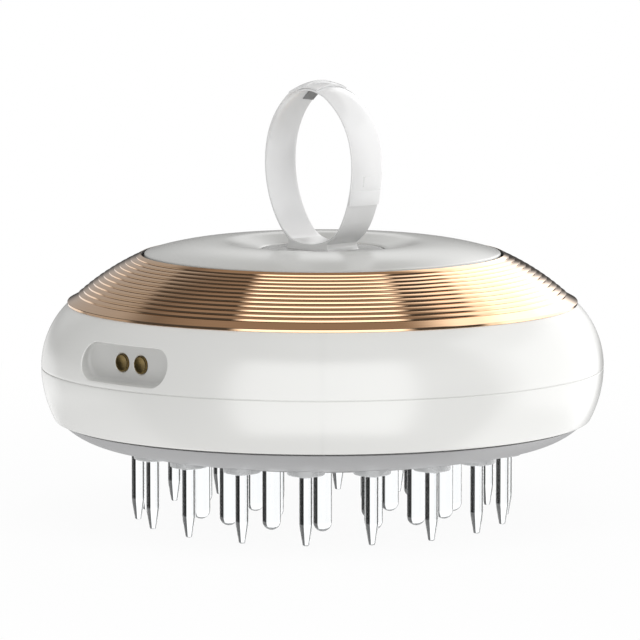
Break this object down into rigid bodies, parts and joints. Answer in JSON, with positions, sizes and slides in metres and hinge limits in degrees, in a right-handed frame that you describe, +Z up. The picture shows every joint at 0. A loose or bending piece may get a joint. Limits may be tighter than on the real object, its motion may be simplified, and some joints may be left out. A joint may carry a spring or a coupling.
{
  "type": "scalp massager brush",
  "caption": "Round electric scalp massager with a finger strap on a dished cap, a ribbed rose-gold trim ring, a magnetic charging pocket and clear teeth on a domed base.",
  "frame": {"origin": "on the body's axis, at the height of the tapered tooth tips on which it stands", "axes": "+Z up through the finger strap, -Y out of the charging pocket, +Y out of the power button, X along the motor shaft"},
  "size_m": [0.096, 0.096, 0.075],
  "materials": {
    "shell_white": "gloss warm-white moulding",
    "cap_white": "satin light grey-white moulding",
    "strap_white": "semi-gloss white strap",
    "rose_gold": "rose-gold anodised, bright turned steps",
    "base_grey": "satin grey moulding",
    "clear_tooth": "clear polished acrylic",
    "seal_rubber": "matte silicone",
    "contact_gold": "gold-plated",
    "board_green": "solder-masked glass laminate",
    "board_white": "white solder-masked laminate",
    "magnet_nickel": "nickel-plated",
    "switch_black": "moulded black",
    "plunger_white": "moulded white",
    "cell_wrap": "shrink-wrapped",
    "foam_pad": "closed-cell foam",
    "motor_steel": "drawn steel",
    "weight_brass": "turned and cut",
    "led_lens": "clear lens over phosphor",
    "screw_steel": "zinc-plated",
    "lead_red": "insulated wire",
    "lead_blue": "insulated wire",
    "lead_white": "insulated wire"
  },
  "bodies": {
    "housing": {"top_cap": "cap_white", "trim_ring": "rose_gold", "upper_shell": "shell_white", "lower_shell": "shell_white", "base_plate": "base_grey", "parting_seal": "seal_rubber", "base_seal": "seal_rubber", "outer_tooth_01": "clear_tooth", "outer_tooth_02": "clear_tooth", "outer_tooth_03": "clear_tooth", "outer_tooth_04": "clear_tooth", "outer_tooth_05": "clear_tooth", "outer_tooth_06": "clear_tooth", "outer_tooth_07": "clear_tooth", "outer_tooth_08": "clear_tooth", "outer_tooth_09": "clear_tooth", "outer_tooth_10": "clear_tooth", "outer_tooth_11": "clear_tooth", "outer_tooth_12": "clear_tooth", "outer_tooth_13": "clear_tooth", "outer_tooth_14": "clear_tooth", "outer_tooth_15": "clear_tooth", "outer_tooth_16": "clear_tooth", "outer_tooth_17": "clear_tooth", "outer_tooth_18": "clear_tooth", "middle_teeth": "clear_tooth", "inner_teeth": "clear_tooth", "charge_contact_left": "contact_gold", "charge_contact_right": "contact_gold", "charge_board": "board_green", "charge_magnets": "magnet_nickel", "button_seal": "seal_rubber", "switch_body": "switch_black", "main_board": "board_green", "board_components": "switch_black", "battery": "cell_wrap", "battery_pad": "foam_pad", "motor_can": "motor_steel", "motor_clamp": "plunger_white", "led_board": "board_white", "leds": "led_lens", "housing_screws": "screw_steel", "base_screws": "screw_steel", "board_screws": "screw_steel", "clamp_screws": "screw_steel", "battery_leads": "lead_red", "motor_leads": "lead_blue", "charge_leads": "lead_red", "led_leads": "lead_white"},
    "finger_strap": {"finger_ring": "strap_white", "ring_washer": "screw_steel", "ring_screw": "screw_steel"},
    "power_button": {"button_cap": "shell_white"},
    "plunger": {"switch_plunger": "plunger_white"},
    "rotor": {"motor_shaft": "motor_steel", "motor_weight": "weight_brass"}
  },
  "joints": [
    {"name": "ring_swivel", "type": "hinge", "parent": "housing", "child": "finger_strap", "pos_m": [0, 0, 0.0452], "axis": [0, 0, 1], "continuous": true},
    {"name": "button_press", "type": "slide", "parent": "housing", "child": "power_button", "axis": [0, -1, 0], "range_m": [0, 0.0004], "stiffness_N_per_m": 3000},
    {"name": "plunger_press", "type": "slide", "parent": "housing", "child": "plunger", "axis": [0, -1, 0], "range_m": [0, 0.0005]},
    {"name": "motor_spin", "type": "hinge", "parent": "housing", "child": "rotor", "pos_m": [0, 0, 0.01948], "axis": [1, 0, 0], "continuous": true}
  ],
  "couplings": [
    {"joint": "plunger_press", "follows": "button_press", "ratio": 1}
  ]
}
